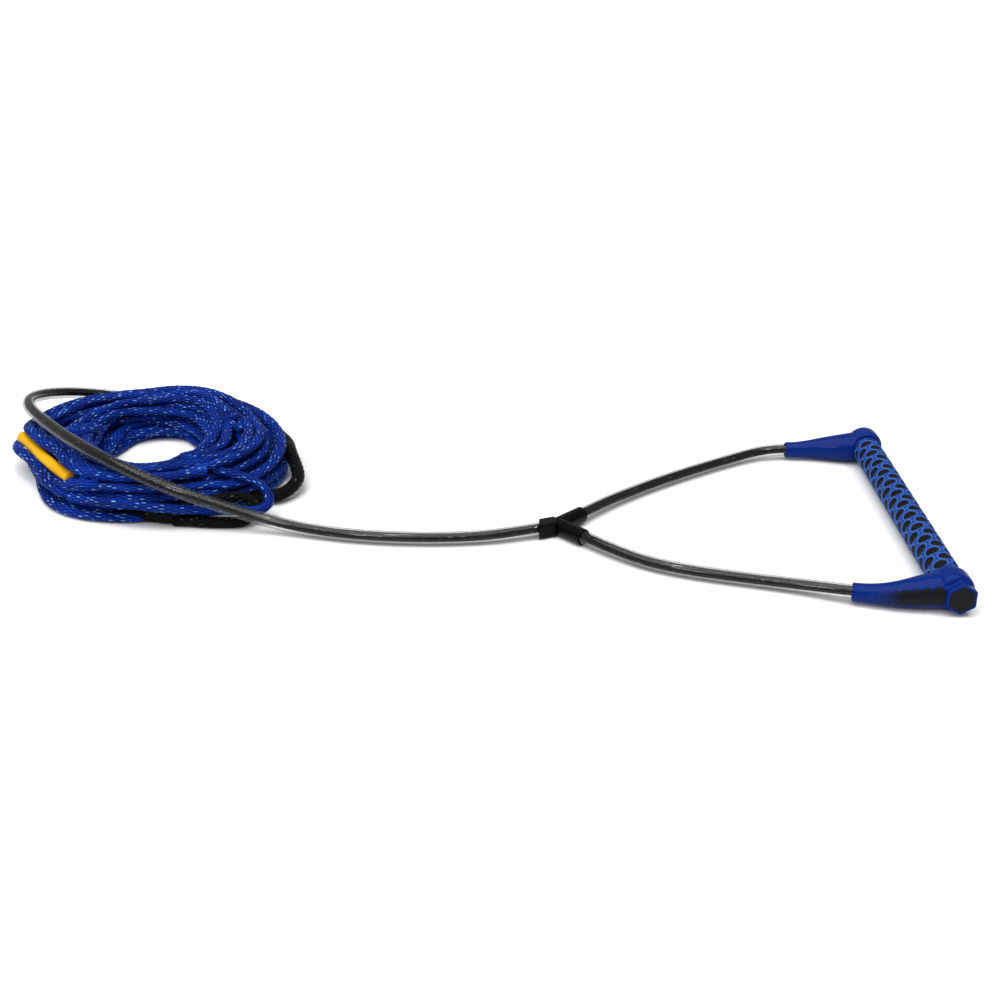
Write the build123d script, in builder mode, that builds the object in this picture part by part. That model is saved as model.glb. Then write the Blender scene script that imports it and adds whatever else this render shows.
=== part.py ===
from build123d import *
import os
from math import cos, pi, radians, sin, tan

# Tow rope handle for water skiing and wakeboarding, lying on a flat surface at z = 0.
# X runs from the coiled line towards the bar, Y runs along the bar, Z is up. The origin is on the
# surface, at the middle of the bar with its two end caps. "left" is the -Y side.

# ---- driving dimensions (mm) ----
HANDLE_LENGTH = 381.0  # across the flat outer faces of the two caps
HEAD_D = 36.0  # round head of a cap
GRIP_D = 29.0
WEB_THICKNESS = 1.2
BAR_D = 19.0
BAR_WALL = 1.5
ROPE_D = 9.5
TUBE_D = 13.5
TUBE_WALL = 1.5
TAIL_D = 13.0  # tail of the bridle rope, where it is spliced back inside itself
LINE_D = 9.5  # hollow braid of the main line, seen alone in the hitch
ARM_REACH = 86.0  # from the bar's axis to the tip of a cap's snout
SNOUT_SOCKET = 16.0  # how far a leg tube goes into a snout
FIT = 0.2  # clearance on a radius round the cord pieces
OVERLAP = 4.0  # how far shapes that form or cut one solid run past each other

BAR_X = (ARM_REACH - HEAD_D / 2) / 2  # puts the middle of the capped bar at x = 0
BAR_H = HEAD_D / 2
FACE_Y = HANDLE_LENGTH / 2
HEAD_Y = FACE_Y - 27.5  # where the round head begins
HEAD_LENGTH = 20.0
HEAD_ROUNDING = 7.0
COLLAR_Y = FACE_Y - 33.0  # inner lip of the cap
COLLAR_D = 32.5
COLLAR_DRAFT = -4  # degrees, wider towards the head
GRIP_END = HEAD_Y
BAR_END = HEAD_Y + 2.0
PLUG_FLANGE = 2.0
PLUG_DEPTH = 18.0
PLUG_BORE = 10.6
ROPE_CORNER_Y = 180.0  # where the rope turns from the bar into a cap's arm

# ---- cap arm: reach from the bar's axis, width along Y, height, height of its centre, and how
# far its centre lies inwards, so that its root flares along the grip ----
ARM_Y = 174.0
ARM_SECTIONS = [
    (0.0, 30.0, 34.5, 17.9, 2.5),
    (17.0, 33.5, 30.6, 15.8, 4.5),
    (33.0, 29.5, 27.2, 14.2, 3.0),
    (48.0, 24.0, 23.2, 12.6, 1.0),
    (64.0, 19.4, 19.0, 11.1, 0.0),
    (76.0, 17.6, 17.2, 10.5, 0.0),
    (ARM_REACH, 17.0, 16.8, 10.5, 0.0),
]
FLARE_ROOM = 10.0  # the grip is cut out of the flare this far in from the collar
FLEX_START = 15.0  # the rubber arm bends in between these two reaches
FLEX_END = 60.0
TOE_IN = {"left": 13.0, "right": 0.0}  # degrees that each arm is pulled in by its leg

# ---- hexagonal boss and inlays on a cap's outer side ----
BOSS_X = BAR_X + 3.0
BOSS_H = 17.0
BOSS_R = 15.0
BOSS_DEPTH = 22.0
BOSS_ROUNDING = 2.0
INLAY_R = 12.3
INLAY_DEPTH = 0.8
INLAY_REACH = 35.0  # the inlays' cutting shapes start this far in from the outer face
INLAY_LIFT = 0.6  # the chain runs this much above the arm's middle
FLAT_SIDES_UP = 30  # turns a hexagon's corner towards the snout
INLAY_GAP = 0.6
CHAIN_COUNT = 8
CHAIN_STEP = 9.6  # first step between the left edges of the smaller hexagons
CHAIN_SHRINK = 0.9  # each step is this much of the last
CHAIN_R = 9.6
CHAIN_START = 24.0  # reach of the first small hexagon's edge

# ---- yoke, where both legs and the trunk meet ----
YOKE = Vector(-309, -23, 8.3)
YOKE_D = 16.5
YOKE_BACK = 12.0  # each sleeve's shape starts this far behind the yoke's centre
SLEEVE_LIP = 0.8
BOX_HEIGHT = 15.6  # the trunk's box-shaped sleeve
BOX_WIDTH = 16.4
BOX_ROUNDING = 3.0  # its long edges
LEG_ANGLE = 47.0  # each leg leaves the yoke at this angle to the X axis
TRUNK_ANGLE = 203.0
ARM_SLEEVE = 36.5  # from the yoke's centre to the sleeve's end
LEG_TUBE_START = 27.0  # from the yoke's centre to the end of the leg's tube
TRUNK_TUBE_START = 14.0
TRUNK_SLEEVE_X = YOKE.X - 18.0  # the box-shaped sleeve is cut off square to the X axis

# ---- coiled main line ----
COIL_CENTRE = (-748.0, 139.0)
COIL_R = (160.0, 131.0)
COIL_TILT = -35.0  # the long axis in plan, from the X axis
COIL_HOLE_CENTRE = (-742.0, 139.0)
COIL_HOLE_R = (55.0, 88.0)
COIL_HOLE_TILT = 12.0
COIL_HEIGHT = 47.0
COIL_ROUND_TOP = 17.0
COIL_ROUND_BOTTOM = 9.0
CORD_CLEARANCE = 0.5  # round the tail where it passes among the turns


def outward(side):
    return 1 if side == "right" else -1


def arm_inset(side, reach):
    """How far the arm's centre line has leaned towards the bar's middle at this reach."""
    toe = radians(TOE_IN[side])
    if reach <= FLEX_START:
        return 0.0
    flexed = min(reach, FLEX_END) - FLEX_START
    return toe * (flexed**2 / (2 * (FLEX_END - FLEX_START)) + max(reach - FLEX_END, 0.0))


def arm_height(reach):
    for near, far in zip(ARM_SECTIONS, ARM_SECTIONS[1:]):
        if reach <= far[0]:
            share = (reach - near[0]) / (far[0] - near[0])
            return near[3] + share * (far[3] - near[3])
    return ARM_SECTIONS[-1][3]


def arm_point(side, reach):
    y = outward(side) * (ARM_Y - arm_inset(side, reach))
    return Vector(BAR_X - reach, y, arm_height(reach))


def arm_direction(side, reach):
    toe = TOE_IN[side] * min(max((reach - FLEX_START) / (FLEX_END - FLEX_START), 0.0), 1.0)
    return Vector(-cos(radians(toe)), -outward(side) * sin(radians(toe)), 0)


def yoke_point(angle, distance):
    return YOKE + Vector(cos(radians(angle)), sin(radians(angle)), 0) * distance


def snout_point(side, distance):
    """A point on the snout's straight axis, this far outside its tip."""
    return arm_point(side, ARM_REACH) + arm_direction(side, ARM_REACH) * distance


# ---- routes ----
LEG_START = {side: snout_point(side, -SNOUT_SOCKET) for side in TOE_IN}
LEG_EXIT = {side: snout_point(side, 8.0) for side in TOE_IN}

LEG_ROUTE = {
    "left": [
        LEG_START["left"],
        LEG_EXIT["left"],
        (-84, -150, 8.2),
        (-120, -138, 6.8),
        (-160, -127, 6.8),
        (-198, -115, 6.8),
        (-231, -98, 6.8),
        (-256, -77.5, 7.6),
        yoke_point(-LEG_ANGLE, 52),
        yoke_point(-LEG_ANGLE, LEG_TUBE_START),
    ],
    "right": [
        LEG_START["right"],
        LEG_EXIT["right"],
        (-85, 169, 8.5),
        (-112, 154, 6.8),
        (-152, 126, 6.8),
        (-196, 92, 6.8),
        (-232, 60, 6.8),
        (-255, 37, 7.6),
        yoke_point(LEG_ANGLE, 52),
        yoke_point(LEG_ANGLE, LEG_TUBE_START),
    ],
}

TRUNK_ROUTE = [
    yoke_point(TRUNK_ANGLE, TRUNK_TUBE_START),
    yoke_point(TRUNK_ANGLE, 42),
    (-392, -49, 6.8),
    (-452, -51, 6.8),
    (-509, -45, 6.8),
    (-558, -32, 7.5),
    (-601, -22, 14),
    (-646, -19, 28),
    (-691, -15, 43),
    (-734, 4, 54),
    (-778, 38, 59),
    (-820, 81, 61),
    (-857, 127, 61.5),
    (-885, 170, 60),
    (-896, 209, 55),
    (-891, 247, 47),
    (-871, 280, 37),
    (-837, 303, 26),
    (-795, 311, 15.5),
    (-751, 307, 8.5),
    (-709, 294, 6.8),
    (-673, 276, 6.8),
]

# The tail runs round the coil's right side, turns back under its front and ends in its splice.
TAIL_ROUTE = [
    (-673, 276, 6.8),
    (-643, 261, 6.8),
    (-628, 236, 8.5),
    (-617, 203.5, 14.5),
    (-600.5, 166.5, 19),
    (-593.5, 134, 21.5),
    (-582.5, 103, 17),
    (-576, 75.5, 14),
    (-588.5, 49, 8.5),
    (-617.5, 41.5, 7),
    (-647, 44, 6.8),
    (-678, 54, 6.8),
    (-706, 62, 6.8),
    (-731, 60, 6.8),
    (-750, 47, 6.8),
    (-756, 28, 6.8),
    (-746, 11, 6.8),
    (-728, 3, 6.8),
    (-708, -1, 6.8),
]

# The eye's two legs lie one over the other along the coil's front.
EYE_ROUTE = [
    (-690, -5, 16.4),
    (-677, -4, 16.8),
    (-660, 6, 19.5),
    (-640, 15, 20.8),
    (-620.5, 16, 20.5),
    (-611, 8, 16),
    (-611, -4, 10),
    (-620.5, -12, 5.6),
    (-640, -13, 5.6),
    (-660, -12, 5.6),
    (-677, -9, 5.6),
    (-690, -9, 5.6),
]
EYE_D = 11.0

# Hitch: the main line's first turn, passed round the end of the tail's eye and back over the coil's
# front.
HITCH_ROUTE = [
    (-656, 47, 36),
    (-635, 37, 36.5),
    (-613, 28, 33.5),
    (-599, 17, 27),
    (-595, 4, 19.5),
    (-603, -5, 15),
    (-618, -4, 14),
    (-640, -4, 14.7),
    (-658, -8, 17.2),
    (-676, -14, 20),
    (-698, -17, 22.7),
    (-721, -14, 24),
    (-746, -7, 24),
    (-772, 2, 21.5),
    (-798, 16, 19),
]

# Long vinyl sleeve on an outer turn of the coil.
TAG_ROUTE = [
    (-886, 148, 31),
    (-868, 121, 31.8),
    (-850.5, 96.5, 31.8),
    (-834, 74.5, 31.3),
    (-818, 56, 30.4),
    (-803, 41, 29.2),
]
TAG_D = 13.0

# Joins between sections of the main line: centre and direction in plan (degrees).
JOINS = [
    ((-820, 132, 40), 60),
    ((-775, 18, 30), 160),
    ((-663, 175, 40), 125),
    ((-683, 58, 40), 35),
]
JOIN_LENGTH = 44.0
JOIN_D = 17.0
JOIN_ROUNDING = 5.0

os.makedirs("parts", exist_ok=True)


def save(piece, name):
    piece.part.label = name
    export_step(piece.part, f"parts/{name}.step")


# ---- bar, plugs and grip ----
def along_bar(y, towards=1):
    return Plane(origin=(BAR_X, y, BAR_H), x_dir=(1, 0, 0), z_dir=(0, towards, 0))


with BuildPart() as bar_tube:
    with BuildSketch(along_bar(0)):
        Circle(BAR_D / 2)
        Circle(BAR_D / 2 - BAR_WALL, mode=Mode.SUBTRACT)
    extrude(amount=BAR_END, both=True)
save(bar_tube, "bar_tube")

with BuildPart() as grip_core:
    with BuildSketch(along_bar(0)):
        Circle(GRIP_D / 2 - WEB_THICKNESS)
        Circle(BAR_D / 2, mode=Mode.SUBTRACT)
    extrude(amount=GRIP_END, both=True)
save(grip_core, "grip_core")

with BuildPart() as grip_web:
    with BuildSketch(along_bar(0)):
        Circle(GRIP_D / 2)
        Circle(GRIP_D / 2 - WEB_THICKNESS, mode=Mode.SUBTRACT)
    extrude(amount=GRIP_END, both=True)
save(grip_web, "grip_web")

for side in TOE_IN:
    out = outward(side)
    with BuildPart() as plug:
        with BuildSketch(along_bar(out * (BAR_END - PLUG_DEPTH), out)):
            Circle(BAR_D / 2 - BAR_WALL)
        extrude(amount=PLUG_DEPTH)
        with BuildSketch(along_bar(out * BAR_END, out)):
            Circle(BAR_D / 2)
        extrude(amount=PLUG_FLANGE)
        with BuildSketch(along_bar(out * (BAR_END - PLUG_DEPTH), out)):
            Circle(PLUG_BORE / 2)
        extrude(amount=PLUG_DEPTH + PLUG_FLANGE, mode=Mode.SUBTRACT)
    save(plug, f"bar_plug_{side}")


# ---- cords ----
def bend_radii(points):
    """Each bend is as large as its two runs allow."""
    radii = []
    for before, corner, after in zip(points, points[1:], points[2:]):
        run_in = Vector(*corner) - Vector(*before)
        run_out = Vector(*after) - Vector(*corner)
        half_turn = radians(run_in.get_angle(run_out)) / 2
        radii.append(0.45 * min(run_in.length, run_out.length) / tan(half_turn))
    return radii


def cord(points, outer, inner=0.0):
    """A round cord or tube along straight runs joined by tangent arcs."""
    with BuildPart() as piece:
        with BuildLine():
            path = FilletPolyline(*points, radius=bend_radii(points))
        with BuildSketch(Plane(origin=path @ 0, z_dir=path % 0)):
            Circle(outer / 2)
            if inner:
                Circle(inner / 2, mode=Mode.SUBTRACT)
        sweep()
    return piece, path.length


def report_cord(name, points, outer, inner, piece, length):
    section = pi * (outer**2 - inner**2) / 4
    tightest = min(bend_radii(points))
    print(
        f"{name}: length {length:.0f} mm, tightest radius {tightest:.0f} mm"
        f" ({tightest / outer:.1f} diameters), volume over section x length"
        f" {piece.part.volume / (section * length):.3f}"
    )


def make_cord(name, points, outer, inner=0.0):
    piece, length = cord(points, outer, inner)
    report_cord(name, points, outer, inner, piece, length)
    save(piece, name)
    return piece


bar_rope_route = [LEG_START["left"], snout_point("left", -SNOUT_SOCKET - 15)]
bar_rope_route += [arm_point("left", 30.0)]
bar_rope_route += [Vector(BAR_X, -ROPE_CORNER_Y, BAR_H), Vector(BAR_X, ROPE_CORNER_Y, BAR_H)]
bar_rope_route += [arm_point("right", 30.0)]
bar_rope_route += [snout_point("right", -SNOUT_SOCKET - 15), LEG_START["right"]]
make_cord("bar_rope", bar_rope_route, ROPE_D)
rope_channel, _ = cord(bar_rope_route, PLUG_BORE)

TUBE_BORE = TUBE_D - 2 * TUBE_WALL
for side, route in LEG_ROUTE.items():
    make_cord(f"leg_tube_{side}", route, TUBE_D, TUBE_BORE)
    make_cord(f"leg_rope_{side}", route, ROPE_D)
make_cord("trunk_tube", TRUNK_ROUTE, TUBE_D, TUBE_BORE)
make_cord("trunk_rope", TRUNK_ROUTE, ROPE_D)
make_cord("tail_rope", TAIL_ROUTE, TAIL_D)
make_cord("tail_eye", EYE_ROUTE, EYE_D)
make_cord("line_hitch", HITCH_ROUTE, LINE_D)
make_cord("line_tag", TAG_ROUTE, TAG_D)

with BuildPart() as tail_splice:
    tail_end = Vector(*TAIL_ROUTE[-1])
    tail_heading = tail_end - Vector(*TAIL_ROUTE[-2])
    with BuildSketch(Plane(origin=tail_end, x_dir=(0, 0, 1), z_dir=tail_heading)):
        Circle(TAIL_D / 2)
    eye_ends = (Vector(*EYE_ROUTE[0]) + Vector(*EYE_ROUTE[-1])) * 0.5
    with BuildSketch(Plane(origin=eye_ends, x_dir=(0, 0, 1), z_dir=(1, 0, 0))):
        Ellipse(EYE_D, TAIL_D / 2)
    loft()
save(tail_splice, "tail_splice")
tail_channel, _ = cord(TAIL_ROUTE, TAIL_D + 2 * CORD_CLEARANCE)
eye_channel, _ = cord(EYE_ROUTE, EYE_D + 2 * CORD_CLEARANCE)


# ---- end caps with their inlays ----
def side_plane(side, x, y, z):
    return Plane(origin=(x, outward(side) * y, z), x_dir=(1, 0, 0), z_dir=(0, outward(side), 0))


def chain_hexagons():
    """Centre x and radius of each hexagon, from the large one towards the snout."""
    hexagons = [(BOSS_X, INLAY_R)]
    reach = CHAIN_START
    step = CHAIN_STEP
    for index in range(CHAIN_COUNT):
        radius = CHAIN_R * (1 - (index / (CHAIN_COUNT + 2.5)) ** 1.6)
        hexagons.append((BAR_X - reach + radius * cos(radians(30)), radius))
        reach += step
        step *= CHAIN_SHRINK
    return hexagons


def chain_height(index, x):
    return BOSS_H if index == 0 else arm_height(BAR_X - x) + INLAY_LIFT


def inlay_prism(side, index, hexagons):
    """One hexagon of the chain, less the part that the larger one beside it covers."""
    x, radius = hexagons[index]
    height = chain_height(index, x)
    with BuildPart() as prism:
        with BuildSketch(side_plane(side, x, FACE_Y - INLAY_REACH, height)):
            RegularPolygon(radius, 6, rotation=FLAT_SIDES_UP)
        extrude(amount=INLAY_REACH + OVERLAP)
        if index:
            cover_x, cover_r = hexagons[index - 1]
            cover_height = chain_height(index - 1, cover_x)
            cover_r = BOSS_R if index == 1 else cover_r + INLAY_GAP
            cover_plane = side_plane(side, cover_x, FACE_Y - INLAY_REACH - OVERLAP, cover_height)
            with BuildSketch(cover_plane):
                RegularPolygon(cover_r, 6, rotation=FLAT_SIDES_UP)
            extrude(amount=INLAY_REACH + 3 * OVERLAP, mode=Mode.SUBTRACT)
    return prism.part


def cap_body(side):
    out = outward(side)
    with BuildPart() as body:
        with BuildSketch(along_bar(out * COLLAR_Y, out)):
            Circle(COLLAR_D / 2)
        extrude(amount=HEAD_Y - COLLAR_Y + OVERLAP, taper=COLLAR_DRAFT)
        with BuildSketch(along_bar(out * HEAD_Y, out)):
            Circle(HEAD_D / 2)
        extrude(amount=HEAD_LENGTH)
        fillet(body.edges().group_by(Axis.Y)[-1 if out > 0 else 0], HEAD_ROUNDING)
        for reach, width, height, _, inwards in ARM_SECTIONS:
            point = arm_point(side, reach) - Vector(0, out * inwards, 0)
            heading = arm_direction(side, reach)
            with BuildSketch(Plane(origin=point, x_dir=(0, 0, 1), z_dir=heading)):
                Ellipse(height / 2, width / 2)
        loft()
        with BuildSketch(side_plane(side, BOSS_X, FACE_Y - BOSS_DEPTH, BOSS_H)):
            RegularPolygon(BOSS_R, 6, rotation=FLAT_SIDES_UP)
            fillet(vertices(), BOSS_ROUNDING)
        extrude(amount=BOSS_DEPTH)
    return body.part


for side in TOE_IN:
    out = outward(side)
    body = cap_body(side)
    skin = body - Pos(0, -out * INLAY_DEPTH, 0) * body
    hexagons = chain_hexagons()
    with BuildPart() as inlay:
        for index in range(len(hexagons)):
            add(skin & inlay_prism(side, index, hexagons))
    with BuildPart() as cap:
        add(body)
        add(inlay.part, mode=Mode.SUBTRACT)
        with BuildSketch(along_bar(out * (COLLAR_Y - FLARE_ROOM), out)):
            Circle(GRIP_D / 2)
        extrude(amount=GRIP_END - COLLAR_Y + FLARE_ROOM, mode=Mode.SUBTRACT)
        with BuildSketch(along_bar(out * (GRIP_END - 1), out)):
            Circle(BAR_D / 2)
        extrude(amount=BAR_END + PLUG_FLANGE - GRIP_END + 1, mode=Mode.SUBTRACT)
        add(rope_channel.part, mode=Mode.SUBTRACT)
        socket = Plane(origin=LEG_START[side], z_dir=arm_direction(side, ARM_REACH))
        with BuildSketch(socket):
            Circle(TUBE_D / 2 + FIT)
        extrude(amount=SNOUT_SOCKET + OVERLAP, mode=Mode.SUBTRACT)
    save(cap, f"cap_{side}")
    save(inlay, f"cap_inlay_{side}")


# ---- yoke ----
def yoke_plane(angle, distance=0.0):
    heading = Vector(cos(radians(angle)), sin(radians(angle)), 0)
    return Plane(origin=yoke_point(angle, distance), x_dir=(0, 0, 1), z_dir=heading)


def mitre(side):
    """Plane halfway between a leg's sleeve, in front of it, and the trunk's, behind it."""
    leg = LEG_ANGLE if side == "right" else 360 - LEG_ANGLE
    facing = radians((leg + TRUNK_ANGLE) / 2 - outward(side) * 90)
    return Plane(origin=YOKE, z_dir=(cos(facing), sin(facing), 0))


for side in TOE_IN:
    out = outward(side)
    leg_angle = out * LEG_ANGLE
    with BuildPart() as sleeve:
        with BuildSketch(yoke_plane(leg_angle, -YOKE_BACK)):
            Circle(YOKE_D / 2)
        extrude(amount=ARM_SLEEVE + YOKE_BACK)
        fillet(sleeve.edges().filter_by(GeomType.CIRCLE).sort_by(Axis.X)[-1], SLEEVE_LIP)
        split(bisect_by=mitre(side), keep=Keep.TOP)
        split(bisect_by=Plane(origin=YOKE, z_dir=(0, out, 0)), keep=Keep.TOP)
        for angle in (TRUNK_ANGLE, LEG_ANGLE, -LEG_ANGLE):
            with BuildSketch(yoke_plane(angle)):
                Circle(ROPE_D / 2 + FIT)
            extrude(amount=ARM_SLEEVE, mode=Mode.SUBTRACT)
        with BuildSketch(yoke_plane(leg_angle, LEG_TUBE_START)):
            Circle(TUBE_D / 2 + FIT)
        extrude(amount=ARM_SLEEVE, mode=Mode.SUBTRACT)
    save(sleeve, f"yoke_sleeve_{side}")

with BuildPart() as trunk_sleeve:
    with BuildSketch(yoke_plane(TRUNK_ANGLE, -YOKE_BACK)):
        RectangleRounded(BOX_HEIGHT, BOX_WIDTH, BOX_ROUNDING)
    extrude(amount=ARM_SLEEVE + YOKE_BACK)
    for side in TOE_IN:
        split(bisect_by=mitre(side), keep=Keep.BOTTOM)
    split(bisect_by=Plane(origin=(TRUNK_SLEEVE_X, 0, 0), z_dir=(1, 0, 0)), keep=Keep.TOP)
    for angle in (TRUNK_ANGLE, LEG_ANGLE, -LEG_ANGLE):
        with BuildSketch(yoke_plane(angle)):
            Circle(ROPE_D / 2 + FIT)
        extrude(amount=ARM_SLEEVE, mode=Mode.SUBTRACT)
    with BuildSketch(yoke_plane(TRUNK_ANGLE, TRUNK_TUBE_START)):
        Circle(TUBE_D / 2 + FIT)
    extrude(amount=ARM_SLEEVE, mode=Mode.SUBTRACT)
save(trunk_sleeve, "yoke_sleeve_trunk")

with BuildPart() as throat:
    for angle, reach in (
        (LEG_ANGLE, LEG_TUBE_START),
        (-LEG_ANGLE, LEG_TUBE_START),
        (TRUNK_ANGLE, TRUNK_TUBE_START),
    ):
        with BuildSketch(yoke_plane(angle)):
            Circle(ROPE_D / 2)
        extrude(amount=reach)
save(throat, "throat_splice")

# ---- joins between the sections of the main line ----
for number, (centre, heading) in enumerate(JOINS, 1):
    direction = Vector(cos(radians(heading)), sin(radians(heading)), 0)
    start = Vector(*centre) - direction * (JOIN_LENGTH / 2)
    with BuildPart() as join:
        with BuildSketch(Plane(origin=start, x_dir=(0, 0, 1), z_dir=direction)):
            Circle(JOIN_D / 2)
        extrude(amount=JOIN_LENGTH)
        fillet(join.edges().filter_by(GeomType.CIRCLE), JOIN_ROUNDING)
    save(join, f"line_join_{number}")

# ---- coiled main line: the outer shape of its turns, open where the tail lies under them ----
with BuildPart() as coil:
    with BuildSketch(Plane(origin=(*COIL_CENTRE, 0))):
        Ellipse(*COIL_R, rotation=COIL_TILT)
    extrude(amount=COIL_HEIGHT)
    with BuildSketch(Plane(origin=(*COIL_HOLE_CENTRE, 0))):
        Ellipse(*COIL_HOLE_R, rotation=COIL_HOLE_TILT)
    extrude(amount=COIL_HEIGHT, mode=Mode.SUBTRACT)
    fillet(coil.edges().group_by(Axis.Z)[-1], COIL_ROUND_TOP)
    fillet(coil.edges().group_by(Axis.Z)[0], COIL_ROUND_BOTTOM)
    for piece in (tail_channel, eye_channel, tail_splice):
        add(piece.part, mode=Mode.SUBTRACT)
save(coil, "mainline_coil")
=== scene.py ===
# Looks of the tow rope handle: ropes, clear tubes, coiled line, yellow sleeve and grip net,
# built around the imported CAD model.
import math

import bpy
import numpy as np
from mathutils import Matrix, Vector, noise


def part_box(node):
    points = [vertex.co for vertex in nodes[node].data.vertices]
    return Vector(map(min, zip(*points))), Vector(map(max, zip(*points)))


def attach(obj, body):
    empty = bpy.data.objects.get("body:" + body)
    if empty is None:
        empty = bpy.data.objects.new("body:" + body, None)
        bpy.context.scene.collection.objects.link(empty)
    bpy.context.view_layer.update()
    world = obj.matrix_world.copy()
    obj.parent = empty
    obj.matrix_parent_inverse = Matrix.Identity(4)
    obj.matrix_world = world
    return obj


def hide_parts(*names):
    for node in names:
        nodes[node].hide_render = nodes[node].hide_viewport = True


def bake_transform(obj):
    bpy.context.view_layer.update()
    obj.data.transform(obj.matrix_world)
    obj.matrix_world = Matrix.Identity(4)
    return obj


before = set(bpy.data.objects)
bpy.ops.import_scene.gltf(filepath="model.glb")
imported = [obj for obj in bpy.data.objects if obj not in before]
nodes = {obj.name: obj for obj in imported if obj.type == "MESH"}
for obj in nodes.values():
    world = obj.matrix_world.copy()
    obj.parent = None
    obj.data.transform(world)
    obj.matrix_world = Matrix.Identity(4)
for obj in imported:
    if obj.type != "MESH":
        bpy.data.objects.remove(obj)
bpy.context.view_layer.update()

MM = 0.001
TURN = 2 * math.pi


# ---- node helpers ----
class Mat:
    """A material with short calls for its nodes."""

    def __init__(self, name):
        self.mat = bpy.data.materials.new(name)
        self.mat.use_nodes = True
        self.tree = self.mat.node_tree
        self.tree.nodes.clear()
        self.out = self.node("ShaderNodeOutputMaterial")

    def node(self, kind, **settings):
        n = self.tree.nodes.new(kind)
        for key, value in settings.items():
            setattr(n, key, value)
        return n

    def feed(self, socket, value):
        if isinstance(value, bpy.types.NodeSocket):
            self.tree.links.new(value, socket)
        else:
            socket.default_value = value

    def math(self, operation, a, b=0.0):
        n = self.node("ShaderNodeMath", operation=operation)
        self.feed(n.inputs[0], a)
        self.feed(n.inputs[1], b)
        return n.outputs[0]

    def ramp(self, value, low, high):
        """0 below low, 1 above high, and straight between them."""
        n = self.node("ShaderNodeMapRange")
        self.feed(n.inputs["Value"], value)
        n.inputs["From Min"].default_value = low
        n.inputs["From Max"].default_value = high
        return n.outputs[0]

    def mix(self, share, a, b):
        n = self.node("ShaderNodeMix", data_type="RGBA")
        self.feed(n.inputs[0], share)
        self.feed(n.inputs[6], a)
        self.feed(n.inputs[7], b)
        return n.outputs[2]

    def coords(self):
        return self.node("ShaderNodeTexCoord").outputs["Object"]

    def noise(self, scale, detail, where=None):
        n = self.node("ShaderNodeTexNoise")
        n.inputs["Scale"].default_value = scale
        n.inputs["Detail"].default_value = detail
        self.feed(n.inputs["Vector"], self.coords() if where is None else where)
        return n.outputs[0]

    def vector(self, x, y, z=0.0):
        n = self.node("ShaderNodeCombineXYZ")
        for socket, value in zip(n.inputs, (x, y, z)):
            self.feed(socket, value)
        return n.outputs[0]

    def bump(self, height, distance, strength):
        n = self.node("ShaderNodeBump")
        n.inputs["Strength"].default_value = strength
        n.inputs["Distance"].default_value = distance
        self.feed(n.inputs["Height"], height)
        return n.outputs[0]

    def attribute(self, name):
        return self.node("ShaderNodeAttribute", attribute_name=name).outputs["Fac"]

    def surface(self, shader):
        self.tree.links.new(shader, self.out.inputs["Surface"])
        return self.mat

    def principled(self, **values):
        n = self.node("ShaderNodeBsdfPrincipled")
        for key, value in values.items():
            self.feed(n.inputs[key.replace("_", " ")], value)
        return n.outputs[0]


def rgb(r, g, b):
    """Linear colour from an 8-bit screen colour."""

    def linear(value):
        if value < 11:
            return (value / 255) / 12.92
        return ((value / 255 + 0.055) / 1.055) ** 2.4

    return linear(r), linear(g), linear(b), 1.0


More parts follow.
